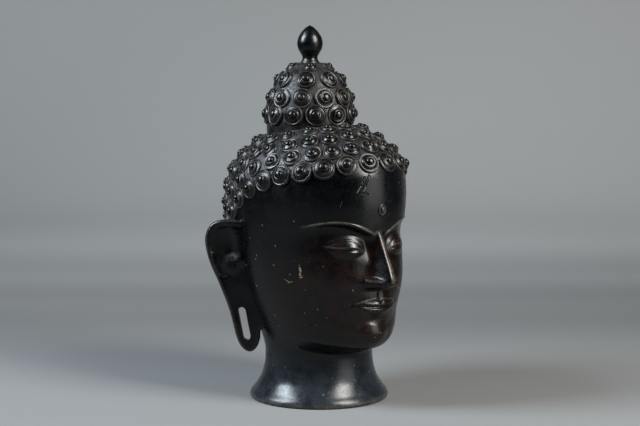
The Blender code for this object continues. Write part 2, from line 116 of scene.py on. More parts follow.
# Each station of the skull: the front's height, then the front's reach, the side's height and
# reach, how far back the widest place lies, and the back's height and reach. Heights are shares
# of the way from the neck to the crown, and reaches are shares of half the width or depth.
STATIONS = (
    (0.000, 0.521, 0.000, 0.667, 0.000, 0.000, 0.521),
    (0.037, 0.519, 0.041, 0.671, 0.000, 0.049, 0.529),
    (0.059, 0.545, 0.081, 0.695, 0.000, 0.089, 0.543),
    (0.075, 0.665, 0.114, 0.727, 0.000, 0.130, 0.571),
    (0.096, 0.800, 0.150, 0.765, 0.005, 0.171, 0.610),
    (0.126, 0.858, 0.187, 0.800, 0.012, 0.211, 0.650),
    (0.159, 0.872, 0.224, 0.832, 0.020, 0.256, 0.700),
    (0.203, 0.868, 0.264, 0.864, 0.035, 0.305, 0.755),
    (0.268, 0.885, 0.317, 0.899, 0.055, 0.360, 0.822),
    (0.350, 0.905, 0.382, 0.932, 0.080, 0.425, 0.900),
    (0.440, 0.910, 0.455, 0.957, 0.095, 0.492, 0.972),
    (0.530, 0.915, 0.533, 0.975, 0.095, 0.558, 1.030),
    (0.610, 0.938, 0.610, 0.990, 0.085, 0.624, 1.062),
    (0.700, 0.955, 0.700, 1.000, 0.065, 0.700, 1.045),
    (0.780, 0.943, 0.780, 0.982, 0.040, 0.780, 0.975),
    (0.840, 0.900, 0.840, 0.910, 0.015, 0.840, 0.865),
    (0.895, 0.785, 0.895, 0.765, 0.000, 0.895, 0.715),
    (0.940, 0.620, 0.940, 0.600, 0.000, 0.940, 0.570),
    (0.975, 0.400, 0.975, 0.400, 0.020, 0.975, 0.420),
    (1.000, 0.000, 1.000, 0.000, 0.050, 1.000, 0.060),
)

# Heights on the foot as shares of the neck's height, with how much of the flare is left
FOOT_PROFILE = (
    (0.0, 0.96), (0.05, 1.0), (0.13, 0.95), (0.29, 0.67),
    (0.6, 0.27), (0.8, 0.135), (1.0, 0.055), (1.4, 0.0),
)

# The hair's edge: the angle from the front in degrees and the height of the curls' middles, as
# a share of the way from the neck to the crown
HAIRLINE = (
    (0.0, 0.849), (23.0, 0.84), (53.0, 0.815), (72.0, 0.79),
    (84.0, 0.758), (97.0, 0.706), (108.0, 0.64), (117.0, 0.545),
    (128.0, 0.45), (142.0, 0.395), (180.0, 0.375),
)

# The knot with its bud: shares of the knot's radius and height, then of the bud's
KNOT_PROFILE = (
    (0.8, -0.2), (1.0, -0.06), (1.0, 0.08), (0.985, 0.2),
    (0.92, 0.43), (0.81, 0.62), (0.66, 0.79), (0.45, 0.92),
    (0.25, 0.985),
)
BUD_PROFILE = (
    (0.74, 0.0), (0.62, 0.06), (0.585, 0.13), (0.72, 0.23),
    (0.93, 0.37), (1.0, 0.5), (0.92, 0.65), (0.66, 0.81),
    (0.3, 0.94), (0.0, 1.0),
)

# Rows of curls on the knot: share of the knot's height, how many, and their size
KNOT_ROWS = (
    (0.215, 12, 1.0), (0.465, 11, 1.0), (0.74, 8, 0.95), (0.925, 5, 0.72),
)

# The ear's outline: shares of its width out from the head's side and of its height from the top
EAR_OUTLINE = (
    (0.08, 0.006), (0.36, 0.0), (0.62, 0.006), (0.83, 0.035),
    (0.96, 0.095), (1.0, 0.165), (0.95, 0.255), (0.83, 0.36),
    (0.67, 0.46), (0.47, 0.6), (0.33, 0.715), (0.2, 0.865),
    (0.09, 0.945), (-0.06, 0.99), (-0.22, 1.0), (-0.37, 0.965),
    (-0.455, 0.9), (-0.48, 0.835), (-0.66, 0.8), (-0.62, 0.68),
    (-0.5, 0.5), (-0.36, 0.33), (-0.24, 0.15), (-0.22, 0.03),
)

# How finely the relief is divided: the face has its own share of the columns, within its angle
BODY_COLUMNS = 280
FACE_SHARE = 0.60
FACE_ANGLE = math.radians(68)
LATHE_STEPS = 96
KNOT_STEPS = 40
BUD_STEPS = 56
MARK_STEPS = 40
CURL_SPOKES = 26
EAR_ROWS = 110
EAR_COLUMNS = 26

# Rows up the foot in shares of the neck's height, then how many rows lead up to the chin, to the
# level of the hair and to the last level, inside the knot
FOOT_SHARES = (0, 0.012, 0.03, *np.linspace(0.05, 0.97, 30))
CHIN_ROWS = 26
FACE_ROWS = 205
CROWN_ROWS = 22
HAIR_LEVEL = 0.82
LAST_LEVEL = 0.985


def smooth_curve(at, places, values):
    """A smooth curve through the given values that doesn't overshoot between them."""
    places = np.asarray(places, float)
    values = np.asarray(values, float)
    steps = np.diff(places)
    slopes = np.diff(values) / steps
    turns = np.zeros(len(places))
    same = slopes[:-1] * slopes[1:] > 0
    near = 2 * steps[1:] + steps[:-1]
    far = steps[1:] + 2 * steps[:-1]
    safe_left = np.where(same, slopes[:-1], 1.0)
    safe_right = np.where(same, slopes[1:], 1.0)
    turns[1:-1] = np.where(same, (near + far) / (near / safe_left + far / safe_right), 0.0)
    turns[0] = slopes[0]
    turns[-1] = slopes[-1]
    at = np.clip(at, places[0], places[-1])
    index = np.clip(np.searchsorted(places, at, side="right") - 1, 0, len(steps) - 1)
    step = steps[index]
    t = (at - places[index]) / step
    return (
        values[index] * (1 + 2 * t) * (1 - t) ** 2
        + step * turns[index] * t * (1 - t) ** 2
        + values[index + 1] * t * t * (3 - 2 * t)
        + step * turns[index + 1] * t * t * (t - 1)
    )


def read_profile(at, profile, place=1):
    """The value that a profile has at a place, with its places in the given column."""
    columns = np.array(profile).T
    return smooth_curve(at, columns[place], columns[1 - place])


def ease(low, high, value):
    t = np.clip((value - low) / (high - low), 0, 1)
    return t * t * (3 - 2 * t)


def mound(x, z, at, reach, fullness=2.0):
    """A round swelling of height 1, falling to 0 at its reach across and up."""
    left = 1 - ((x - at[0]) / reach[0]) ** 2 - ((z - at[1]) / reach[1]) ** 2
    return np.clip(left, 0, 1) ** fullness


def line(distance, width):
    """A soft line of height 1 at distance 0."""
    return np.exp(-((distance / width) ** 2))


# Half the mouth's width in thirds of the face, like all places and reaches on the face below
MOUTH_REACH = 0.45


def brow_arch(x):
    """The brow's height in thirds of the face, at x across in the same thirds."""
    return 1.89 + 0.23 * np.sin(0.78 * math.pi * np.clip((x - 0.12) / 0.98, 0, 1))


def in_thirds(x, height):
    """The distance from the middle and the height above the chin, in thirds of the face."""
    return np.abs(x) / FACE_THIRD, (height - CHIN_HEIGHT) / FACE_THIRD


def mouth_lines(x):
    """The line between the lips, how full they are, and how far they reach above and below it."""
    middle = 0.667 + 0.045 * (x / MOUTH_REACH) ** 2
    span = np.clip(1 - (x / MOUTH_REACH) ** 2, 0, 1)
    bow = 0.016 * line(x - 0.09, 0.06) - 0.020 * line(x, 0.045)
    return middle, span, 0.01 + 0.115 * span**0.7 + bow, 0.01 + 0.145 * span**0.8


def face_relief(x, height):
    """How far the face stands forward of the plain skull: the same broad forms as the CAD's."""
    x, z = in_thirds(x, height)
    below = brow_arch(x) - z
    socket = ease(0.0, 0.11, below) * (1 - ease(0.16, 0.60, below))
    socket = socket * ease(0.06, 0.24, x) * (1 - ease(0.85, 1.22, x))
    eye = mound(x, z, (0.54, 1.70), (0.31, 0.20), 1.1)
    ridge = smooth_curve(
        z,
        (0.95, 0.985, 1.04, 1.10, 1.16, 1.30, 1.62, 1.86, 1.96),
        (0.00, 0.12, 0.33, 0.40, 0.395, 0.335, 0.165, 0.05, 0.00),
    )
    spread = smooth_curve(z, (0.95, 1.08, 1.22, 1.60, 1.95), (0.27, 0.27, 0.215, 0.135, 0.11))
    nose = ridge / (1 + (x / (0.66 * spread)) ** 4)
    wing = mound(x, z, (0.215, 1.085), (0.125, 0.115), 1.0)
    muzzle = mound(x, z, (0.0, 0.66), (0.62, 0.42))
    mouth, span, lip_rise, lip_drop = mouth_lines(x)
    above = (z - mouth) / lip_rise
    under = (mouth - z) / lip_drop
    upper_lip = np.clip(1 - above * above, 0, 1) ** 0.7 * (above >= 0)
    lower_lip = np.clip(1 - under * under, 0, 1) ** 0.8 * (under > 0)
    lips = (0.075 * upper_lip + 0.085 * lower_lip) * span**0.5
    parting = line(z - mouth, 0.022) * span**0.5
    fold = mound(x, z, (0.0, 0.44), (0.30, 0.10))
    chin = mound(x, z, (0.0, 0.20), (0.36, 0.26))
    cheek = mound(x, z, (0.76, 1.08), (0.60, 0.62))
    forward = nose + 0.105 * wing + 0.082 * eye - 0.095 * socket + 0.065 * muzzle + lips
    forward = forward - 0.055 * parting - 0.030 * fold + 0.075 * chin + 0.055 * cheek
    return forward * FACE_THIRD


def eye_lines(x):
    """The upper lid's edge, the lower lid's edge and the lid's crease, in thirds, and a window."""
    share = (x - 0.27) / 0.56
    bulge = np.sin(math.pi * np.clip(share, 0, 1))
    middle = 1.610 + 0.085 * share + 0.018 * np.sin(2 * math.pi * np.clip(share, 0, 1))
    window = ease(-0.06, 0.06, share) * (1 - ease(0.96, 1.10, share))
    return middle + 0.035 * bulge, middle - 0.036 * bulge, middle + 0.165 * bulge**0.7, window


def fine_relief(x, height):
    """The chased lines of the face, and the share of bright wear along its raised edges."""
    x, z = in_thirds(x, height)
    brow = line(brow_arch(x) - z, 0.018) * ease(0.08, 0.20, x) * (1 - ease(1.00, 1.16, x))
    upper, lower, crease, window = eye_lines(x)
    slit = ease(0, 0.012, z - lower) * ease(0, 0.012, upper - z) * window
    lid_edge = line(z - upper - 0.012, 0.012) * window
    low_edge = line(z - lower + 0.012, 0.012) * window
    fold = line(z - crease, 0.014) * window
    bridge = line(x, 0.030) * ease(1.06, 1.20, z) * (1 - ease(1.72, 1.92, z))
    nostril = mound(x, z, (0.115, 1.0), (0.060, 0.040), 1.0)
    groove = mound(x, z, (0.0, 0.880), (0.060, 0.085))
    banks = mound(x, z, (0.085, 0.875), (0.040, 0.090))
    mouth, span, lip_rise, lip_drop = mouth_lines(x)
    lip_top = line(z - mouth - lip_rise, 0.013) * ease(0, 0.12, span)
    lip_foot = line(mouth - z - lip_drop, 0.014) * ease(0, 0.12, span)
    corner = mound(x, z, (0.47, 0.72), (0.05, 0.05))
    forward = 0.022 * brow - 0.016 * slit + 0.007 * lid_edge + 0.005 * low_edge - 0.010 * fold
    forward = forward + 0.001 * bridge - 0.050 * nostril - 0.014 * groove + 0.006 * banks
    forward = forward + 0.010 * lip_top + 0.006 * lip_foot - 0.018 * corner
    wear = 0.95 * brow + 0.85 * bridge + 0.35 * lid_edge + 0.40 * lip_top + 0.25 * lip_foot
    return forward * FACE_THIRD, np.clip(wear, 0, 1)


def skull(angle, level, detail=0):
    """The head's surface: the plain skull at detail 0, with the whole face at detail 1."""
    columns = np.array(STATIONS).T
    station = [smooth_curve(level, columns[0], column) for column in columns]
    front_height, front, side_height, side, widest, back_height, back = station
    middle = widest * HEAD_DEPTH / 2
    ahead = np.cos(angle) > 0
    share = np.cos(angle) ** 2
    height = np.where(ahead, front_height, back_height) * share + side_height * (1 - share)
    depth = np.where(ahead, middle + front * HEAD_DEPTH / 2, back * HEAD_DEPTH / 2 - middle)
    x = side * HEAD_WIDTH / 2 * np.sin(angle)
    y = middle - depth * np.cos(angle)
    z = NECK_HEIGHT + HEAD_RISE * height
    if detail:
        forward = face_relief(x, z) + fine_relief(x, z)[0]
        y = y - forward * ease(0.0, 0.35, np.cos(angle))
    return np.stack([x, y, z], axis=-1)


def skull_frame(angle, level):
    """Places on the plain skull with the two directions along it."""
    step = 0.004
    place = skull(angle, level)
    around = (skull(angle + step, level) - place) / step
    upward = (skull(angle, level + step) - place) / step
    return place, around, upward


def halved(low, high, is_short):
    """The narrow span, found by halving, at which a test stops being true."""
    for _ in range(30):
        half = (low + high) / 2
        short = is_short(half)
        low = np.where(short, half, low)
        high = np.where(short, high, half)
    return low, high


def level_at(angle, height_share):
    """The ring that passes through a height at an angle from the front."""
    wanted = NECK_HEIGHT + HEAD_RISE * height_share
    low, high = halved(
        np.zeros_like(angle), np.ones_like(angle), lambda level: skull(angle, level)[..., 2] < wanted
    )
    return (low + high) / 2


def hair_edge(angle):
    """The ring level of the middles of the hairline's curls at an angle from the front."""
    turned = np.degrees(np.abs((angle + math.pi) % (2 * math.pi) - math.pi))
    return level_at(angle, read_profile(turned, HAIRLINE, 0))


def knot_edge(angle, reach):
    """The ring level that lies at a reach from the knot's axis, at an angle from the front."""

    def is_clear(level):
        place = skull(angle, level)
        return np.hypot(place[..., 0], place[..., 1] - KNOT_BACK) > reach

    return halved(np.full_like(angle, 0.75), np.ones_like(angle), is_clear)[0]


def spaced_row(angles, levels, pitch, shift=0.0):
    """Angles at an even pitch along a closed row, starting at the middle of the back."""
    places = skull(angles, levels)
    steps = np.linalg.norm(np.diff(places, axis=0), axis=1)
    along = np.concatenate([[0], np.cumsum(steps)])
    count = int(round(along[-1] / pitch))
    wanted = (np.arange(count) + 0.5 + shift) * along[-1] / count
    return np.interp(wanted % along[-1], along, angles)


def loose_rows(angles, edge, top):
    """Curls in rows at even depths below the knot, wherever the hair's edge leaves them room."""
    lanes = np.stack([edge + (top - edge) * share for share in np.linspace(0, 1, 60)])
    places = skull(np.broadcast_to(angles, lanes.shape), lanes)
    steps = np.linalg.norm(np.diff(places, axis=0), axis=2)
    depth = np.concatenate([np.zeros((1, len(angles))), np.cumsum(steps, axis=0)])
    depth = depth[-1] - depth
    loose_angles = []
    loose_levels = []
    row = 0
    while (row + FIRST_ROW_SHARE) * ROW_SHARE * CURL_PITCH < depth.max():
        wanted = (row + FIRST_ROW_SHARE) * ROW_SHARE * CURL_PITCH
        levels = np.array([np.interp(-wanted, -deep, lane) for deep, lane in zip(depth.T, lanes.T)])
        room = depth[0] - wanted
        for angle in spaced_row(angles, levels, CURL_PITCH, 0.5 * (row % 2)):
            if np.interp(angle, angles, room) > EDGE_ROOM_SHARE * CURL_PITCH:
                loose_angles.append(angle)
                loose_levels.append(np.interp(angle, angles, levels))
        row += 1
    return np.array(loose_angles), np.array(loose_levels)


def settle(angle, level, fixed, top_reach):
    """Lets the loose curls push each other apart between the hairline and the knot."""
    reach = SETTLE_REACH * CURL_PITCH
    for _ in range(SETTLE_ROUNDS):
        place, around, upward = skull_frame(angle, level)
        gap = place[:, None, :] - np.concatenate([place, fixed])[None, :, :]
        far = np.linalg.norm(gap, axis=2)
        np.fill_diagonal(far, 1.0)
        push = np.clip(1 - far / reach, 0, 1) / far
        move = (gap * push[..., None]).sum(axis=1) * SETTLE_STEP * CURL_PITCH
        around_square = (around * around).sum(axis=1)
        upward_square = (upward * upward).sum(axis=1)
        both = (around * upward).sum(axis=1)
        move_around = (move * around).sum(axis=1)
        move_upward = (move * upward).sum(axis=1)
        whole = around_square * upward_square - both * both
        angle = angle + (move_around * upward_square - move_upward * both) / whole
        level = level + (move_upward * around_square - move_around * both) / whole
        angle = (angle + math.pi) % (2 * math.pi) - math.pi
        level = np.clip(level, hair_edge(angle), knot_edge(angle, top_reach))
    return angle, level


def curl_places():
    """Angles and levels of the curls, worked out as the CAD does."""
    angles = np.linspace(-math.pi, math.pi, 241)
    edge = hair_edge(angles)
    edge_angles = spaced_row(angles, edge, EDGE_CURL_PITCH)
    edge_levels = hair_edge(edge_angles)
    hidden_reach = KNOT_RADIUS - 0.25 * CURL_PITCH
    hidden_angles = spaced_row(angles, knot_edge(angles, hidden_reach), CURL_PITCH)
    hidden_levels = knot_edge(hidden_angles, hidden_reach)
    top_reach = KNOT_RADIUS + 0.60 * CURL_RADIUS
    fixed_angles = np.concatenate([edge_angles, hidden_angles])
    fixed = skull(fixed_angles, np.concatenate([edge_levels, hidden_levels]))
    loose_angles, loose_levels = loose_rows(angles, edge, knot_edge(angles, top_reach))
    return edge_angles, edge_levels, *settle(loose_angles, loose_levels, fixed, top_reach)


# How much wider than the CAD's curls these are, on the head and on the knot
CURL_SPREAD = 1.05
KNOT_CURL_SPREAD = 1.20


def curl_frames():
    """Each curl's place, the way out of the surface there, its size and its spread."""
    frames = []
    edge_angles, edge_levels, angles, levels = curl_places()
    groups = ((edge_angles, edge_levels, EDGE_CURL_SCALE), (angles, levels, 1.0))
    for group_angles, group_levels, size in groups:
        place, around, upward = skull_frame(group_angles, group_levels)
        out = np.cross(around, upward)
        for point, normal in zip(place, out):
            frames.append((Vector(point), Vector(normal).normalized(), size, CURL_SPREAD))
    heights = [KNOT_HEIGHT * h for _, h in KNOT_PROFILE]
    radii = [KNOT_RADIUS * r for r, _ in KNOT_PROFILE]
    for row, (share, count, size) in enumerate(KNOT_ROWS):
        height = share * KNOT_HEIGHT
        step = 0.01 * KNOT_HEIGHT
        radius = float(smooth_curve(height, heights, radii))
        slope = (float(smooth_curve(height + step, heights, radii)) - radius) / step
        for i in range(count):
            turn = 2 * math.pi * (i + 0.5 * (row % 2)) / count
            outward = Vector((math.sin(turn), -math.cos(turn), 0))
            point = outward * radius + Vector((0, KNOT_BACK, KNOT_BASE + height))
            normal = (outward + Vector((0, 0, -slope))).normalized()
            frames.append((point, normal, size * KNOT_CURL_SCALE, KNOT_CURL_SPREAD))
    return frames


def add_object(name, data):
    item = bpy.data.objects.new(name, data)
    bpy.context.scene.collection.objects.link(item)
    return item


class Shell:
    """Points, faces and the marks of wear, dust, tints and painted shade that the material reads."""

    MARKS = ("wear", "dust", "warm", "cool")

    def __init__(self):
        self.points = []
        self.faces = []
        self.marks = {mark: [] for mark in self.MARKS}
        self.count = 0

    def add(self, points, faces, **marks):
        points = np.asarray(points, float).reshape(-1, 3)
        self.points.append(points)
        self.faces.extend([tuple(int(i) + self.count for i in face) for face in faces])
        for mark in self.MARKS:
            value = np.broadcast_to(np.asarray(marks.get(mark, 0.0), float), (len(points),))
            self.marks[mark].append(value)
        self.count += len(points)

    def add_grid(self, grid, **marks):
        """A grid of closed rows of points, joined row to row."""
        rows, columns = grid.shape[:2]
        low = columns * np.repeat(np.arange(rows - 1), columns)
        here = np.tile(np.arange(columns), rows - 1)
        after = (here + 1) % columns
        high = low + columns
        faces = np.stack([low + here, low + after, high + after, high + here], 1)
        flat = {name: np.broadcast_to(value, (rows, columns)).ravel() for name, value in marks.items()}
        self.add(grid.reshape(-1, 3), faces, **flat)

    def build(self, name, material):
        mesh = bpy.data.meshes.new(name)
        mesh.from_pydata(np.concatenate(self.points).tolist(), [], self.faces)
        for mark in self.MARKS:
            values = np.concatenate(self.marks[mark]).astype(np.float32)
            mesh.attributes.new(mark, "FLOAT", "POINT").data.foreach_set("value", values)
        mesh.polygons.foreach_set("use_smooth", np.ones(len(mesh.polygons), bool))
        mesh.materials.append(material)
        mesh.update()
        return add_object(name, mesh)


def body_angles():
    """Angles round the head, closest together across the face, without the last one."""
    share = np.linspace(-1, 1, BODY_COLUMNS + 1)[:-1]
    face = np.abs(share) / FACE_SHARE
    rest = (np.abs(share) - FACE_SHARE) / (1 - FACE_SHARE)
    far = FACE_ANGLE + (math.pi - FACE_ANGLE) * np.clip(rest, 0, 1)
    return np.sign(share) * np.where(face < 1, FACE_ANGLE * face, far)


def body_grid(angles):
    """Rows of places from the foot's edge up to the knot, and the level of each row."""
    neck = skull(angles, np.zeros_like(angles))
    rim = np.stack([np.sin(angles), -np.cos(angles), np.zeros_like(angles)], -1) * FOOT_RADIUS
    flare = (rim - neck) * (1, 1, 0)
    rings = np.stack([neck * (1, 1, share) for share in FOOT_SHARES])
    chin = (CHIN_HEIGHT - NECK_HEIGHT) / HEAD_RISE
    lower = np.linspace(0, chin, CHIN_ROWS)[:-1]
    middle = np.linspace(chin, HAIR_LEVEL, FACE_ROWS)[:-1]
    levels = np.concatenate([lower, middle, np.linspace(HAIR_LEVEL, LAST_LEVEL, CROWN_ROWS)])
    grid = np.concatenate([rings, skull(angles[None, :], levels[:, None], detail=1)])
    grid = grid + flare * read_profile(grid[..., 2:] / NECK_HEIGHT, FOOT_PROFILE, 0)
    # The finer rows meet the tip of the nose more closely than the solid does
    grid[..., 1] = np.maximum(grid[..., 1], cad_box[0][1])
    return grid, np.concatenate([np.zeros(len(rings)), levels])


def add_body(shell):
    """Head and foot: dust under the curls, warm face, cool neck, painted shade under the chin, worn
    foot's edge.
    """
    angles = body_angles()
    grid, levels = body_grid(angles)
    x = grid[..., 0]
    z = grid[..., 2]
    front = np.cos(angles)[None, :] > 0.1
    dust = ease(-0.030, 0.010, levels[:, None] - hair_edge(angles)[None, :])
    across, up = in_thirds(x, z)
    warm = mound(across, up, (0.30, 0.95), (1.15, 1.15), 0.8) * front
    # The neck's cool tone fades out well below the chin, so the upper neck stays near black: painted
    # shade under the chin.
    cool = 1 - ease(0.30, 1.00, z / CHIN_HEIGHT)
    foot_edge = line(z - 0.0028, 0.0022)
    wear = np.clip(0.6 * fine_relief(x, z)[1] * front + 0.25 * foot_edge, 0, 1)
    shell.add_grid(grid, wear=wear, dust=dust, warm=warm, cool=cool)
    shell.add(grid[0], [tuple(range(BODY_COLUMNS))[::-1]])


def add_turned(shell, radii, heights, back, **marks):
    """A turned shape whose upright axis stands the given distance behind the middle."""
    turns = np.linspace(0, 2 * math.pi, LATHE_STEPS + 1)[:-1]
    radii = np.asarray(radii)[:, None]
    heights = np.asarray(heights)[:, None] + 0 * turns
    grid = np.stack([radii * np.sin(turns), back - radii * np.cos(turns), heights], -1)
    flat = {name: np.asarray(value)[:, None] for name, value in marks.items()}
    shell.add_grid(grid, **flat)


def add_knot(shell):
    share = np.linspace(KNOT_PROFILE[0][1], KNOT_PROFILE[-1][1], KNOT_STEPS)
    radii = KNOT_RADIUS * read_profile(share, KNOT_PROFILE)
    dust = 0.25 + 0.75 * ease(0.10, 0.24, share)
    add_turned(shell, radii, KNOT_BASE + KNOT_HEIGHT * share, KNOT_BACK, dust=dust)
    # The bud's rows start inside the knot and lie closer together toward its tip
    share = 1 - (1 - np.linspace(-0.06, 1, BUD_STEPS)) ** 1.3
    radii = BUD_RADIUS * read_profile(share, BUD_PROFILE)
    dust = 0.7 * (1 - ease(0.02, 0.14, share))
    add_turned(shell, radii, KNOT_BASE + KNOT_HEIGHT + BUD_HEIGHT * share, KNOT_BACK, dust=dust)


def ear_origin():
    """The middle of the ear's root at the side of the head."""
    height = EAR_TOP - EAR_ROOT_SHARE * EAR_HEIGHT
    share = (height - NECK_HEIGHT) / HEAD_RISE
    angles = np.linspace(math.pi / 2, math.pi, 91)
    places = skull(angles, level_at(angles, np.full_like(angles, share)))
    return float(np.interp(EAR_BACK, places[:, 1], places[:, 0]))


def rounded_outline(corners, steps=8):
    """A closed smooth curve through the corners."""
    corners = np.asarray(corners, float)
    t = np.linspace(0, 1, steps + 1)[:-1, None]
    pieces = []
    for i in range(len(corners)):
        a, b, c, d = (corners[(i + k) % len(corners)] for k in (-1, 0, 1, 2))
        square = (2 * a - 5 * b + 4 * c - d) * t**2
        cube = (3 * b - a - 3 * c + d) * t**3
        pieces.append(0.5 * (2 * b + (c - a) * t + square + cube))
    return np.concatenate(pieces)


def distance_to(points, outline):
    """How far each point lies from a closed outline."""
    best = np.full(len(points), 1.0)
    for a, b in zip(outline, np.roll(outline, -1, axis=0)):
        along = b - a
        share = np.clip(((points - a) @ along) / (along @ along), 0, 1)
        best = np.minimum(best, np.linalg.norm(points - a - share[:, None] * along, axis=1))
    return best


# How evenly the ear's rows lie, how near they come to its ends, how far in its rim is rolled, and
# how near its points are when they are joined
EVEN_SHARE = 0.45
EAR_END = 0.0015
EAR_ROLL = 0.0030
WELD_REACH = 0.00001


def ear_grid():
    """Places on the ear's plate in its own plane, row by row between its two edges."""
    corners = np.array([(u * EAR_WIDTH, -v * EAR_HEIGHT) for u, v in EAR_OUTLINE])
    outline = rounded_outline(corners)
    high = outline[:, 1].max()
    low = outline[:, 1].min()
    share = 0.5 - 0.5 * np.cos(np.linspace(0, math.pi, EAR_ROWS))
    share = (1 - EVEN_SHARE) * share + EVEN_SHARE * np.linspace(0, 1, EAR_ROWS)
    heights = high + (low - high) * np.clip(share, EAR_END, 1 - EAR_END)
    spread = 0.5 - 0.5 * np.cos(np.linspace(0, math.pi, EAR_COLUMNS))
    after = np.roll(outline, -1, axis=0)
    rows = []
    for height in heights:
        cross = (outline[:, 1] - height) * (after[:, 1] - height) < 0
        a = outline[cross]
        b = after[cross]
        hits = a[:, 0] + (height - a[:, 1]) / (b[:, 1] - a[:, 1]) * (b[:, 0] - a[:, 0])
        across = hits.min() + (hits.max() - hits.min()) * spread
        rows.append(np.stack([across, np.full_like(across, height)], -1))
    return np.stack(rows), outline


def slot_outline():
    """The slot through the lobe: a long hole with round ends, leaning a little."""
    straight = SLOT_LENGTH / 2 - SLOT_WIDTH / 2
    turns = np.linspace(0, math.pi, 9)
    cap = np.stack([np.cos(turns), np.sin(turns)], -1) * SLOT_WIDTH / 2
    ring = np.concatenate([cap + (0, straight), -cap - (0, straight)])
    along = np.array([math.cos(SLOT_LEAN), -math.sin(SLOT_LEAN)])
    upward = np.array([math.sin(SLOT_LEAN), math.cos(SLOT_LEAN)])
    turned = ring[:, :1] * along + ring[:, 1:] * upward
    return turned + (SLOT_PLACE[0] * EAR_WIDTH, -SLOT_PLACE[1] * EAR_HEIGHT)


def ear_plate(side):
    """Rows round an ear's plate, with its rolled rim and its hollow, and their wear and dust.

    Places and reaches of its forms are shares of the ear's width and height.
    """
    grid, outline = ear_grid()
    edge = distance_to(grid.reshape(-1, 2), outline).reshape(grid.shape[:2])
    u = grid[..., 0] / EAR_WIDTH
    v = -grid[..., 1] / EAR_HEIGHT
    half = EAR_THICKNESS / 2
    round_off = np.sqrt(np.clip(1 - (1 - np.clip(edge / EAR_ROLL, 0, 1)) ** 2, 0, 1))
    upper = 1 - ease(0.42, 0.56, v)
    bowl = mound(u, v, HOLLOW_PLACE, (HOLLOW_REACH[0] * 1.08, HOLLOW_REACH[1] * 1.08), 0.55)
    ridge = mound(u, v, (0.30, 0.335), (0.26, 0.085), 1.0)
    knob = mound(u, v, (0.02, 0.300), (0.13, 0.060), 1.0)
    dent = mound(u, v, (0.30, 0.180), (0.13, 0.100), 1.0)
    lobe = mound(u, v, (0.04, 0.640), (0.32, 0.150), 1.0)
    front = half * round_off - EAR_HOLLOW * bowl - 0.0006 * upper * line(edge - 0.0065, 0.0016)
    front = front + 0.0024 * ridge + 0.0022 * knob - 0.0010 * dent - 0.0008 * lobe
    back = -half * round_off
    back[:, 0] = front[:, 0] = 0
    back[:, -1] = front[:, -1] = 0
    wear = line(edge - 0.0012, 0.0014) * 0.22
    dust = 0.08 * bowl
    points = [np.stack([grid[..., 0], grid[..., 1], out], -1) for out in (front, back)]
    ring = np.concatenate([points[0], points[1][:, -2:0:-1]], axis=1)
    wears = np.concatenate([wear, wear[:, -2:0:-1]], axis=1)
    dusts = np.concatenate([dust, 0 * dust[:, -2:0:-1]], axis=1)
    ring[..., 0] *= side
    return ring, wears, dusts


def ear_place(side):
    turn = Matrix.Rotation(side * EAR_FLARE, 4, "Z") @ Matrix.Rotation(math.pi / 2, 4, "X")
    return Matrix.Translation((side * ear_origin(), EAR_BACK, EAR_TOP)) @ turn


def ear_mesh(name, side, material):
    """One ear as a mesh of its own, with the slot cut through its lobe."""
    shell = Shell()
    grid, wears, dusts = ear_plate(side)
    shell.add_grid(grid, wear=wears, dust=dusts)
    columns = grid.shape[1]
    shell.add(grid[0], [tuple(range(columns))[::-1]])
    shell.add(grid[-1], [tuple(range(columns))])
    ear = shell.build(name, material)
    weld = ear.modifiers.new("weld", "WELD")
    weld.merge_threshold = WELD_REACH
    slot = slot_outline() * (side, 1)
    depth = EAR_THICKNESS * 2
    points = np.concatenate([np.insert(slot, 2, z, axis=1) for z in (depth, -depth)])
    count = len(slot)
    faces = [(i, (i + 1) % count, (i + 1) % count + count, i + count) for i in range(count)]
    faces += [tuple(range(count))[::-1], tuple(range(count, 2 * count))]
    mesh = bpy.data.meshes.new(name + "_slot")
    mesh.from_pydata(points.tolist(), [], faces)
    cutter = add_object(name + "_slot", mesh)
    cut = ear.modifiers.new("slot", "BOOLEAN")
    cut.operation = "DIFFERENCE"
    cut.solver = "EXACT"
    cut.use_self = True
    cut.object = cutter
    bpy.context.view_layer.update()
    evaluated = ear.evaluated_get(bpy.context.evaluated_depsgraph_get())
    solid = bpy.data.meshes.new_from_object(evaluated)
    bpy.data.objects.remove(ear, do_unlink=True)
    bpy.data.objects.remove(cutter, do_unlink=True)
    return solid


def add_mesh(shell, mesh, matrix):
    """Copies a mesh with its marks into the shell."""
    count = len(mesh.vertices)
    points = np.zeros(count * 3)
    mesh.vertices.foreach_get("co", points)
    points = points.reshape(-1, 3) @ np.array(matrix.to_3x3()).T + np.array(matrix.translation)
    marks = {}
    for mark in Shell.MARKS:
        marks[mark] = np.zeros(count, np.float32)
        mesh.attributes[mark].data.foreach_get("value", marks[mark])
    shell.add(points, [tuple(face.vertices) for face in mesh.polygons], **marks)


# The mark's section from its rim in: share of its half size, share of its relief, and wear
MARK_PROFILE = (
    (1.0, -0.3, 0.0), (1.0, 0.1, 0.1), (0.92, 0.34, 0.35), (0.8, 0.4, 0.5),
    (0.68, 0.26, 0.1), (0.6, 0.3, 0.1), (0.52, 0.62, 0.25), (0.38, 0.86, 0.3),
    (0.2, 0.98, 0.45), (0.02, 1.02, 0.5),
)


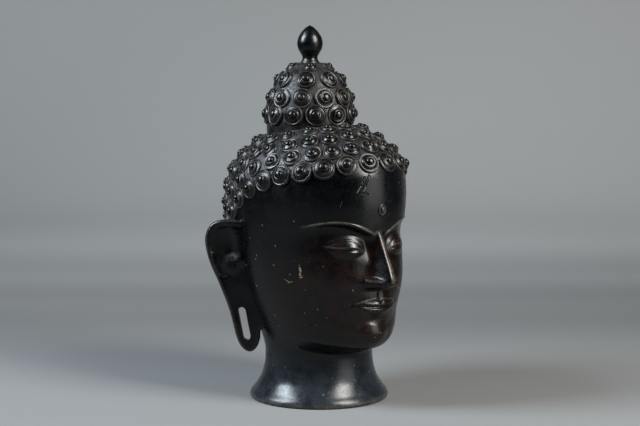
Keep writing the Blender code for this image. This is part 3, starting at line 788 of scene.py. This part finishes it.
def add_mark(shell):
    """The oval mark between and above the brows: a raised rim round a boss."""
    share = (CHIN_HEIGHT + MARK_THIRDS * FACE_THIRD - NECK_HEIGHT) / HEAD_RISE
    place = skull(np.array([0.0]), level_at(np.array([0.0]), np.array([share])))[0]
    turns = np.linspace(0, 2 * math.pi, MARK_STEPS + 1)[:-1]
    reach, out, wear = (column[:, None] for column in np.array(MARK_PROFILE).T)
    x = place[0] + reach * MARK_WIDTH / 2 * np.sin(turns)
    y = place[1] - out * MARK_RELIEF + 0 * turns
    z = place[2] - reach * MARK_HEIGHT / 2 * np.cos(turns)
    shell.add_grid(np.stack([x, y, z], -1), wear=0.5 * wear)


# A curl's section in shares of its radius and height, with wear and dust: the round bead at its
# foot from the outside in, then the nub in its middle
BEAD_PROFILE = (
    (1.03, -0.28, 0.0, 1.0), (1.03, 0.06, 0.0, 0.9), (0.995, 0.2, 0.05, 0.2),
    (0.95, 0.285, 1.0, 0.0), (0.905, 0.215, 0.05, 0.0), (0.85, 0.2, 0.0, 0.1),
)
NUB_PROFILE = (
    (0.39, 0.61, 0.0, 0.1), (0.385, 0.73, 0.0, 0.0), (0.335, 0.86, 0.0, 0.0),
    (0.235, 0.95, 0.0, 0.0), (0.12, 0.99, 0.1, 0.0),
)
# The ribbon that winds up from the bead to the nub, and the swell of the ridge across it
RIBBON_START = BEAD_PROFILE[-1][0]
RIBBON_END = NUB_PROFILE[0][0]
RIBBON_WINDS = 1.55
RIBBON_SECTION = ((0.0, 0.0), (0.36, 0.25), (0.5, 1.0), (0.64, 0.25))
RIDGE_RISE = 0.14


def ribbon_height(radius):
    share = (RIBBON_START - radius) / (RIBBON_START - RIBBON_END)
    return 0.20 + 0.42 * share**0.9


def curl_template():
    """One snail curl of radius 1: a round bead, then a ribbon that winds up to a nub.

    The ribbon's inner edge on one turn is its outer edge on the next, so the turns stay joined.
    """
    spokes = CURL_SPOKES
    turns = np.linspace(0, 2 * math.pi, spokes + 1)[:-1]
    points = []
    faces = []

    def put(radius, turn, height, worn, dusty):
        points.append((radius * math.cos(turn), radius * math.sin(turn), height, worn, dusty))
        return len(points) - 1

    def put_rings(profile):
        rings = []
        for reach, height, worn, dusty in profile:
            rings.append([put(reach, turn, height, worn, dusty) for turn in turns])
        return rings

    def join_rings(rings):
        for lower, upper in zip(rings, rings[1:]):
            for i in range(spokes):
                j = (i + 1) % spokes
                faces.append((lower[i], lower[j], upper[j], upper[i]))

    bead = put_rings(BEAD_PROFILE)
    join_rings(bead)
    width = (RIBBON_START - RIBBON_END) / RIBBON_WINDS
    steps = int(round(RIBBON_WINDS * spokes))
    ribbon = []
    for i in range(steps + spokes + 1):
        wound = i / spokes
        tail = float(ease(0.0, 0.28, wound))
        column = []
        for across, swell in RIBBON_SECTION:
            radius = max(RIBBON_START - width * (wound + across), RIBBON_END)
            ridge = RIDGE_RISE * swell * tail * float(ease(RIBBON_END, RIBBON_END + 0.03, radius))
            height = ribbon_height(radius) + ridge
            worn = 0.75 * swell**3 * tail
            column.append(put(radius, 2 * math.pi * wound, height, worn, 0.15 * (1 - swell * tail)))
        ribbon.append(column)
    for i in range(steps):
        for k in range(3):
            faces.append((ribbon[i][k], ribbon[i + 1][k], ribbon[i + 1][k + 1], ribbon[i][k + 1]))
        faces.append((ribbon[i][3], ribbon[i + 1][3], ribbon[i + 1 + spokes][0], ribbon[i + spokes][0]))
    for i in range(spokes):
        faces.append((bead[-1][i], bead[-1][(i + 1) % spokes], ribbon[i + 1][0], ribbon[i][0]))
    nub = put_rings(NUB_PROFILE)
    tip = put(0, 0, 1.0, 0.3, 0.0)
    join_rings(nub)
    for i in range(spokes):
        faces.append((nub[-1][i], nub[-1][(i + 1) % spokes], tip))
    points = np.array(points)
    return points[:, :3], faces, points[:, 3], points[:, 4]


# How much the curls differ by chance in size, lean and wear, and their height against the CAD's
CURL_SIZES = (0.95, 1.04)
CURL_LEAN = 0.05
CURL_WEAR = (0.30, 0.85)
CURL_RISE = 0.96


def make_curls(material):
    shell = Shell()
    points, faces, wear, dust = curl_template()
    draw = np.random.default_rng(11)
    for place, normal, size, spread in curl_frames():
        spin = draw.uniform(0, 2 * math.pi)
        radius = CURL_RADIUS * (size * spread * draw.uniform(*CURL_SIZES))
        lean = Vector(draw.normal(0, CURL_LEAN, 3))
        turn = (normal + lean).normalized().to_track_quat("Z", "Y").to_matrix()
        spun = turn @ Matrix.Rotation(spin, 3, "Z")
        scale = np.array([radius, radius, CURL_RISE * CURL_HEIGHT * size])
        here = (points * scale) @ np.array(spun).T + np.array(place)
        shell.add(here, faces, wear=wear * draw.uniform(*CURL_WEAR), dust=dust)
    return shell.build("hair_curls", material)


def wire(kind, inputs, **settings):
    """A node with its plain settings, and its inputs set to values or linked from sockets.

    At least one input comes from a socket, and the node goes into that socket's tree.
    """
    sockets = [value for value in inputs.values() if isinstance(value, bpy.types.NodeSocket)]
    tree = sockets[0].id_data
    node = tree.nodes.new(kind)
    for name, value in settings.items():
        setattr(node, name, value)
    for name, value in inputs.items():
        if isinstance(value, bpy.types.NodeSocket):
            tree.links.new(value, node.inputs[name])
        else:
            node.inputs[name].default_value = value
    return node


def new_material(name):
    """A material with its tree, its shader and the socket that tells the place on the object."""
    material = bpy.data.materials.new(name)
    material.use_nodes = True
    tree = material.node_tree
    place = tree.nodes.new("ShaderNodeTexCoord").outputs["Object"]
    return material, tree, tree.nodes["Principled BSDF"], place


def math_node(operation, a, b=0.0, clamp=False):
    return wire("ShaderNodeMath", {0: a, 1: b}, operation=operation, use_clamp=clamp).outputs[0]


def times(a, b):
    return math_node("MULTIPLY", a, b)


def plus(a, b):
    return math_node("ADD", a, b)


def vector_math(operation, output, *values):
    node = wire("ShaderNodeVectorMath", dict(enumerate(values)), operation=operation)
    return node.outputs[output]


def stretch(value, low, high, out_low=0.0, out_high=1.0):
    """A smooth step from one value to another between low and high."""
    ends = {"From Min": low, "From Max": high, "To Min": out_low, "To Max": out_high}
    kind = "ShaderNodeMapRange"
    return wire(kind, {"Value": value, **ends}, interpolation_type="SMOOTHSTEP").outputs[0]


def blend(share, a, b):
    """A colour between two. The Mix node has its colours at inputs 6 and 7 and at output 2."""
    return wire("ShaderNodeMix", {0: share, 6: a, 7: b}, data_type="RGBA").outputs[2]


def noise(place, scale, detail=4.0, rough=0.55):
    inputs = {"Vector": place, "Scale": scale, "Detail": detail, "Roughness": rough}
    return wire("ShaderNodeTexNoise", inputs).outputs[0]


# The metal's own tones, its dirt, its worn edges and its scratches
PATINA = (0.0007, 0.0008, 0.0011, 1)
PATINA_PALE = (0.0024, 0.003, 0.0031, 1)
PATINA_WARM = (0.01, 0.0034, 0.0018, 1)
# The neck's blue-grey tone; where it stops below the chin, the near black left there is painted shade.
PATINA_COOL = (0.0105, 0.0138, 0.0176, 1)
DUST = (0.066, 0.06, 0.063, 1)
WORN = (0.15, 0.13, 0.105, 1)
SCRATCH_DARK = (0.0015, 0.0015, 0.0015, 1)
SCRATCH_PALE = (0.19, 0.14, 0.09, 1)

# Scales of the noises in the metal, from the broadest to the finest
BROAD_SCALE = 14.0
MOTTLE_SCALE = 70.0
WOBBLE_SCALE = 160.0
SPECK_SCALE = 260.0
GRAIN_SCALE = 420.0
PIT_SCALE = 1500.0

# The dust thins out toward this side of the head, between these distances, to what is left there
DUST_FADES_TOWARD = (0.78, -0.4, 0.48)
DUST_FADES_FROM = 0.03
DUST_FADES_TO = 0.16
DUST_LEFT = 0.22

# How far the scratches wander, how deep they are, and how deep the metal's grain is
WANDER = 0.0022
SCRATCH_DEPTH = 0.0012
GRAIN_DEPTH = 0.0004

# Marks of use: angle from the front in degrees and height at both ends, and half the width
DARK_SCRATCHES = (
    (-10.0, 0.234, -16.0, 0.2185, 0.001), (-13.6, 0.233, -19.0, 0.219, 0.0008),
    (-15.6, 0.218, -14.0, 0.2166, 0.0007), (-12.6, 0.2176, -11.2, 0.2164, 0.00065),
)
PALE_SCRATCHES = (
    (-55.2, 0.1432, -55.0, 0.1402, 0.0011), (-55.4, 0.1378, -55.0, 0.1362, 0.0009),
    (-55.8, 0.134, -54.2, 0.1345, 0.0005), (-66.0, 0.1312, -62.4, 0.128, 0.00036),
    (-63.8, 0.1284, -61.0, 0.129, 0.00036), (-48.0, 0.15, -58.0, 0.1506, 0.00014),
    (-44.0, 0.1452, -56.0, 0.1462, 0.00012), (33.0, 0.074, 42.0, 0.09, 0.00025),
    (20.0, 0.22, 34.0, 0.232, 0.00012), (5.0, 0.206, 16.0, 0.229, 0.0001),
    (-30.0, 0.205, -24.0, 0.228, 0.0001),
)
SEAM = (-97.0, 0.14, -60.0, 0.1378, 0.00045)


def on_skull(degrees, height):
    """A place on the head at an angle from the front and, but for the relief, a height."""
    angle = np.array([math.radians(degrees)])
    level = level_at(angle, np.array([(height - NECK_HEIGHT) / HEAD_RISE]))
    return Vector(skull(angle, level, detail=1)[0])


def streak(place, ends):
    """1 along a straight mark between two places on the head, falling to 0 beside it."""
    first = on_skull(ends[0], ends[1])
    span = on_skull(ends[2], ends[3]) - first
    away = vector_math("SUBTRACT", "Vector", place, first)
    along = vector_math("DOT_PRODUCT", "Value", away, span)
    share = math_node("DIVIDE", along, span.length_squared, clamp=True)
    near = wire("ShaderNodeVectorMath", {0: span, "Scale": share}, operation="SCALE")
    apart = vector_math("DISTANCE", "Value", away, near.outputs[0])
    return stretch(apart, 0.4 * ends[4], 1.6 * ends[4], 1.0, 0.0)


def strongest(masks):
    total = masks[0]
    for mask in masks[1:]:
        total = math_node("MAXIMUM", total, mask)
    return total


def patina(marks, broad, mottle):
    """The bare metal's colour: near black, with paler, browner and bluer places."""
    pale = times(stretch(broad, 0.45, 0.70), 0.6)
    colour = blend(pale, PATINA, PATINA_PALE)
    warm = times(marks["warm"], stretch(mottle, 0.30, 0.62))
    colour = blend(times(warm, 0.75), colour, PATINA_WARM)
    # The cool tone is the neck's own; its ending below the chin leaves painted shade under the chin.
    cool = times(marks["cool"], stretch(mottle, 0.26, 0.62, 0.45, 1.0))
    return blend(cool, colour, PATINA_COOL)


def scratches(place, mottle):
    """Where the dark marks of use are, with the seam, and where the pale ones are, with specks."""
    noises = {"Vector": place, "Scale": WOBBLE_SCALE, "Detail": 3.0}
    wobble = wire("ShaderNodeTexNoise", noises).outputs["Color"]
    wobble = vector_math("SUBTRACT", "Vector", wobble, (0.5, 0.5, 0.5))
    wobbly = vector_math("MULTIPLY_ADD", "Vector", wobble, (WANDER, WANDER, WANDER), place)
    dark = strongest([streak(wobbly, ends) for ends in DARK_SCRATCHES])
    seam = times(streak(wobbly, SEAM), stretch(mottle, 0.3, 0.6))
    pale = strongest([streak(wobbly, ends) for ends in PALE_SCRATCHES])
    specks = stretch(noise(place, SPECK_SCALE, 1.0, 0.4), 0.765, 0.790)
    dark = strongest([dark, times(seam, 0.7)])
    return dark, strongest([pale, times(specks, 0.7)])


def bronze_material():
    material, tree, shader, place = new_material("patinated_bronze")
    marks = {}
    for mark in Shell.MARKS:
        node = tree.nodes.new("ShaderNodeAttribute")
        node.attribute_name = mark
        marks[mark] = node.outputs["Fac"]
    broad = noise(place, BROAD_SCALE, 5.0)
    mottle = noise(place, MOTTLE_SCALE, 6.0, 0.6)
    grain = noise(place, GRAIN_SCALE, 4.0, 0.6)
    pits = noise(place, PIT_SCALE, 2.0, 0.5)
    dusty = times(marks["dust"], stretch(grain, 0.25, 0.62, 0.35, 1.0))
    dusty = times(dusty, stretch(mottle, 0.34, 0.60, 0.30, 1.0))
    aside = vector_math("DOT_PRODUCT", "Value", place, DUST_FADES_TOWARD)
    thinner = stretch(aside, DUST_FADES_FROM, DUST_FADES_TO, 1.0, DUST_LEFT)
    dark, pale = scratches(place, mottle)
    worn = times(marks["wear"], stretch(mottle, 0.30, 0.58, 0.35, 1.0))
    worn = times(worn, stretch(grain, 0.30, 0.55, 0.5, 1.0))
    colour = blend(times(dusty, thinner), patina(marks, broad, mottle), DUST)
    colour = blend(times(dark, 0.9), colour, SCRATCH_DARK)
    colour = blend(times(pale, 0.9), colour, SCRATCH_PALE)
    colour = blend(worn, colour, WORN)
    rough = plus(stretch(mottle, 0.3, 0.7, 0.22, 0.32), times(dusty, 0.38))
    rough = plus(rough, stretch(grain, 0.42, 0.66, -0.02, 0.05))
    height = plus(plus(times(grain, 0.5), pits), times(mottle, 1.2))
    bump = wire("ShaderNodeBump", {"Height": height, "Strength": 0.10, "Distance": GRAIN_DEPTH})
    groove = math_node("SUBTRACT", 1.0, dark)
    marked = {"Height": groove, "Strength": 1.0, "Distance": SCRATCH_DEPTH}
    bump = wire("ShaderNodeBump", {**marked, "Normal": bump.outputs[0]})
    tree.links.new(colour, shader.inputs["Base Color"])
    tree.links.new(rough, shader.inputs["Roughness"])
    tree.links.new(times(worn, 0.5), shader.inputs["Metallic"])
    tree.links.new(bump.outputs[0], shader.inputs["Normal"])
    shader.inputs["Specular IOR Level"].default_value = 0.30
    return material


# The camera: where it stands, what it looks at, its lens and its sensor's width in millimetres
CAMERA_TURN = math.radians(-38)
CAMERA_DISTANCE = 1.55
CAMERA_HEIGHT = 0.3555
CAMERA_AIM = 0.189
CAMERA_SIDE = 0.001
CAMERA_LENS = 85.0
CAMERA_SENSOR = 36


def camera_directions():
    right = Vector((math.cos(CAMERA_TURN), math.sin(CAMERA_TURN), 0))
    toward = Vector((math.sin(CAMERA_TURN), -math.cos(CAMERA_TURN), 0))
    return right, toward


def make_camera():
    right, toward = camera_directions()
    data = bpy.data.cameras.new("camera")
    camera = add_object("camera", data)
    level = math.sqrt(CAMERA_DISTANCE**2 - (CAMERA_HEIGHT - CAMERA_AIM) ** 2)
    camera.location = toward * level + right * CAMERA_SIDE + Vector((0, 0, CAMERA_HEIGHT))
    target = right * CAMERA_SIDE + Vector((0, 0, CAMERA_AIM))
    camera.rotation_euler = (target - camera.location).to_track_quat("-Z", "Y").to_euler()
    data.sensor_width = CAMERA_SENSOR
    data.lens = CAMERA_LENS
    bpy.context.scene.camera = camera


# The studio: a round floor that bends up into a wall on all sides, far enough for every view, with
# one more ring in the middle of its floor
FLOOR_RADIUS = 1.75
MIDDLE_RADIUS = 0.4 * FLOOR_RADIUS
WALL_BEND = 0.85
WALL_TOP = 2.6
BEND_STEPS = 13

# The backdrop's tone by its distance behind the head, away from the camera. Its dark floor in
# front and its darkest band just behind the head are painted shade in place of the lamps' falloff
PAPER_SHADE_TONES = (
    (-1.3, 0.1), (-0.45, 0.165), (0.05, 0.16), (0.42, 0.132),
    (0.62, 0.16), (0.85, 0.235), (1.27, 0.36), (1.9, 0.37),
)
# How far to the side the pale strip of the backdrop reaches on the floor, and what is left beside it,
# where the darker tone is painted shade for a dark studio at the sides
PAPER_HALF_WIDTH = 0.62
PAPER_FADE = 0.55
PAPER_SHADE_BESIDE = 0.45
# From where to where behind the head the strip grows wider, and by how much
PAPER_WIDENS = (0.5, 2.4)
PAPER_GROWTH = 0.55


def shaded_paper_material():
    material, tree, shader, place = new_material("paper_painted_shade")
    shader.inputs["Roughness"].default_value = 0.85
    shader.inputs["Specular IOR Level"].default_value = 0.1
    right, toward = camera_directions()
    behind = vector_math("DOT_PRODUCT", "Value", place, -toward)
    # The ramp paints shade by the distance behind the head, in place of the lamps' falloff.
    nearest, farthest = PAPER_SHADE_TONES[0][0], PAPER_SHADE_TONES[-1][0]
    span = {"Value": behind, "From Min": nearest, "From Max": farthest}
    ramp = wire("ShaderNodeValToRGB", {"Fac": wire("ShaderNodeMapRange", span).outputs[0]})
    ramp.color_ramp.interpolation = "EASE"
    stops = ramp.color_ramp.elements
    while len(stops) < len(PAPER_SHADE_TONES):
        stops.new(1.0)
    for stop, (distance, tone) in zip(stops, PAPER_SHADE_TONES):
        stop.position = (distance - nearest) / (farthest - nearest)
        stop.color = (tone, tone, tone, 1)
    aside = vector_math("DOT_PRODUCT", "Value", place, right)
    wider = stretch(behind, *PAPER_WIDENS, 0.0, PAPER_GROWTH)
    aside = math_node("SUBTRACT", math_node("ABSOLUTE", aside), wider)
    # Beside the pale strip the tone is cut down: painted shade for the dark sides of the studio.
    side_shade = stretch(aside, PAPER_HALF_WIDTH, PAPER_HALF_WIDTH + PAPER_FADE, 1.0, PAPER_SHADE_BESIDE)
    tree.links.new(times(ramp.outputs["Color"], side_shade), shader.inputs["Base Color"])
    return material


def make_studio():
    bend = np.linspace(0, math.pi / 2, BEND_STEPS)[1:]
    curve = FLOOR_RADIUS + WALL_BEND * np.sin(bend)
    radii = [0.0, MIDDLE_RADIUS, FLOOR_RADIUS, *curve, FLOOR_RADIUS + WALL_BEND]
    heights = [0.0, 0.0, 0.0, *(WALL_BEND * (1 - np.cos(bend))), WALL_TOP]
    shell = Shell()
    add_turned(shell, radii, heights, 0.0)
    stage = shell.build("studio_floor", shaded_paper_material())


# Softboxes: turn round from the camera and rise in degrees, distance, size, watts and colour
SOFTBOXES = {
    "left_box": (-77, 39, 1.6, (0.62, 0.9), 22.5, (0.8, 0.905, 1.0)),
    "right_box": (54, 37, 1.6, (0.6, 0.9), 18.8, (1.0, 1.0, 0.955)),
    "right_panel": (58, 2, 0.95, (0.58, 0.6), 0.95, (0.97, 1.0, 0.98)),
}
SOFTBOX_SPREAD = math.radians(110)
# Lights on the wall: place and aim as distances to the side, behind the head and up, then watts
# and colour on the left and on the right
WASH_PLACE = (0.9, 1.35, 2.3)
WASH_AIM = (0.75, 2.6, 0.7)
WASH_SIZE = (1.0, 0.4)
WASH_SPREAD = math.radians(112)
WASHES = {-1: (9.4, (0.73, 0.89, 1.0)), 1: (10.6, (1.0, 0.97, 0.93))}
# Faint light from all round
AIR_COLOUR = (0.8, 0.9, 1.0, 1)
AIR_STRENGTH = 0.04


def make_area_light(name, place, target, size, power, colour, spread):
    data = bpy.data.lights.new(name, "AREA")
    data.shape = "RECTANGLE"
    data.size, data.size_y = size
    data.energy = power
    data.spread = spread
    data.color = colour
    light = add_object(name, data)
    light.location = place
    light.rotation_euler = (target - place).to_track_quat("-Z", "Y").to_euler()


def make_softbox(name, turn, rise, distance, size, power, colour):
    """A softbox aimed at the head, at an angle round from the camera and a rise above level."""
    around = CAMERA_TURN + math.radians(turn)
    rise = math.radians(rise)
    level = Vector((math.sin(around) * math.cos(rise), -math.cos(around) * math.cos(rise), 0))
    target = Vector((0, 0, CAMERA_AIM))
    place = target + (level + Vector((0, 0, math.sin(rise)))) * distance
    make_area_light(name, place, target, size, power, colour, SOFTBOX_SPREAD)


def make_lights():
    for name, values in SOFTBOXES.items():
        make_softbox(name, *values)
    right, toward = camera_directions()
    for side, (power, colour) in WASHES.items():
        place, target = (
            right * side * aside - toward * behind + Vector((0, 0, up))
            for aside, behind, up in (WASH_PLACE, WASH_AIM)
        )
        make_area_light("wall_wash", place, target, WASH_SIZE, power, colour, WASH_SPREAD)
    world = bpy.data.worlds.new("studio")
    bpy.context.scene.world = world
    world.use_nodes = True
    background = world.node_tree.nodes["Background"]
    background.inputs[0].default_value = AIR_COLOUR
    background.inputs[1].default_value = AIR_STRENGTH


def main():
    make_camera()
    make_studio()
    make_lights()
    bronze = bronze_material()
    shell = Shell()
    add_body(shell)
    add_knot(shell)
    add_mark(shell)
    for name, side in (("ear_left", 1), ("ear_right", -1)):
        add_mesh(shell, ear_mesh(name, side, bronze), ear_place(side))
    casting = shell.build("head_casting", bronze)
    curls = make_curls(bronze)
    for piece in (casting, curls):
        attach(piece, "root")
        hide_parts("buddha_head")
        piece.data.validate()
    bpy.context.scene.view_settings.view_transform = "Standard"


main()
